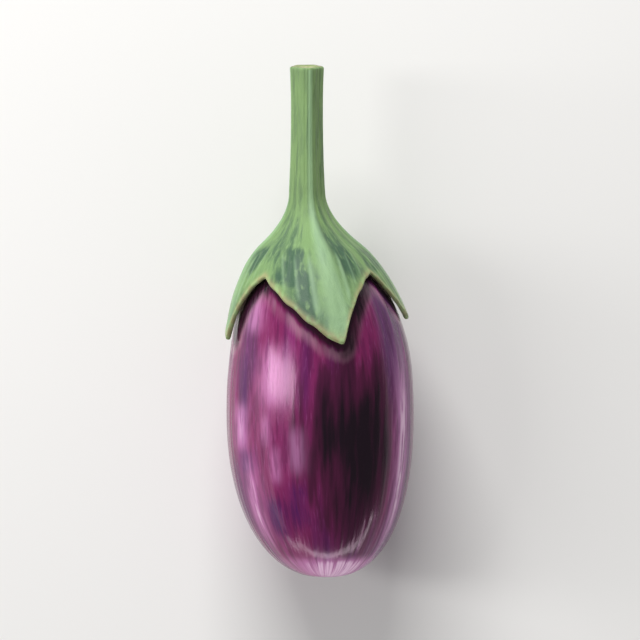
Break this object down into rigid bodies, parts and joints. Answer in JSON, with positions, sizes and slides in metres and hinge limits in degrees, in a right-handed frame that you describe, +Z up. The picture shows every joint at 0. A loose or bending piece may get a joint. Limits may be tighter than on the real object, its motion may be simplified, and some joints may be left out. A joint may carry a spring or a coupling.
{
  "type": "eggplant",
  "caption": "Small egg-shaped purple eggplant lying on its side, with a green lobed calyx over its shoulder and a cut stem.",
  "frame": {"origin": "middle of the small flat spot on the underside, under the widest part of the fruit, on the surface that it lies on", "axes": "+Z up; +Y along the fruit towards the cut end of its stem; +X to the right when looking along +Y"},
  "size_m": [0.0423, 0.1158, 0.0441],
  "materials": {
    "skin": "gloss",
    "calyx": "matte"
  },
  "bodies": {
    "root": {"fruit": "skin", "calyx_with_stem": "calyx"}
  },
  "joints": []
}
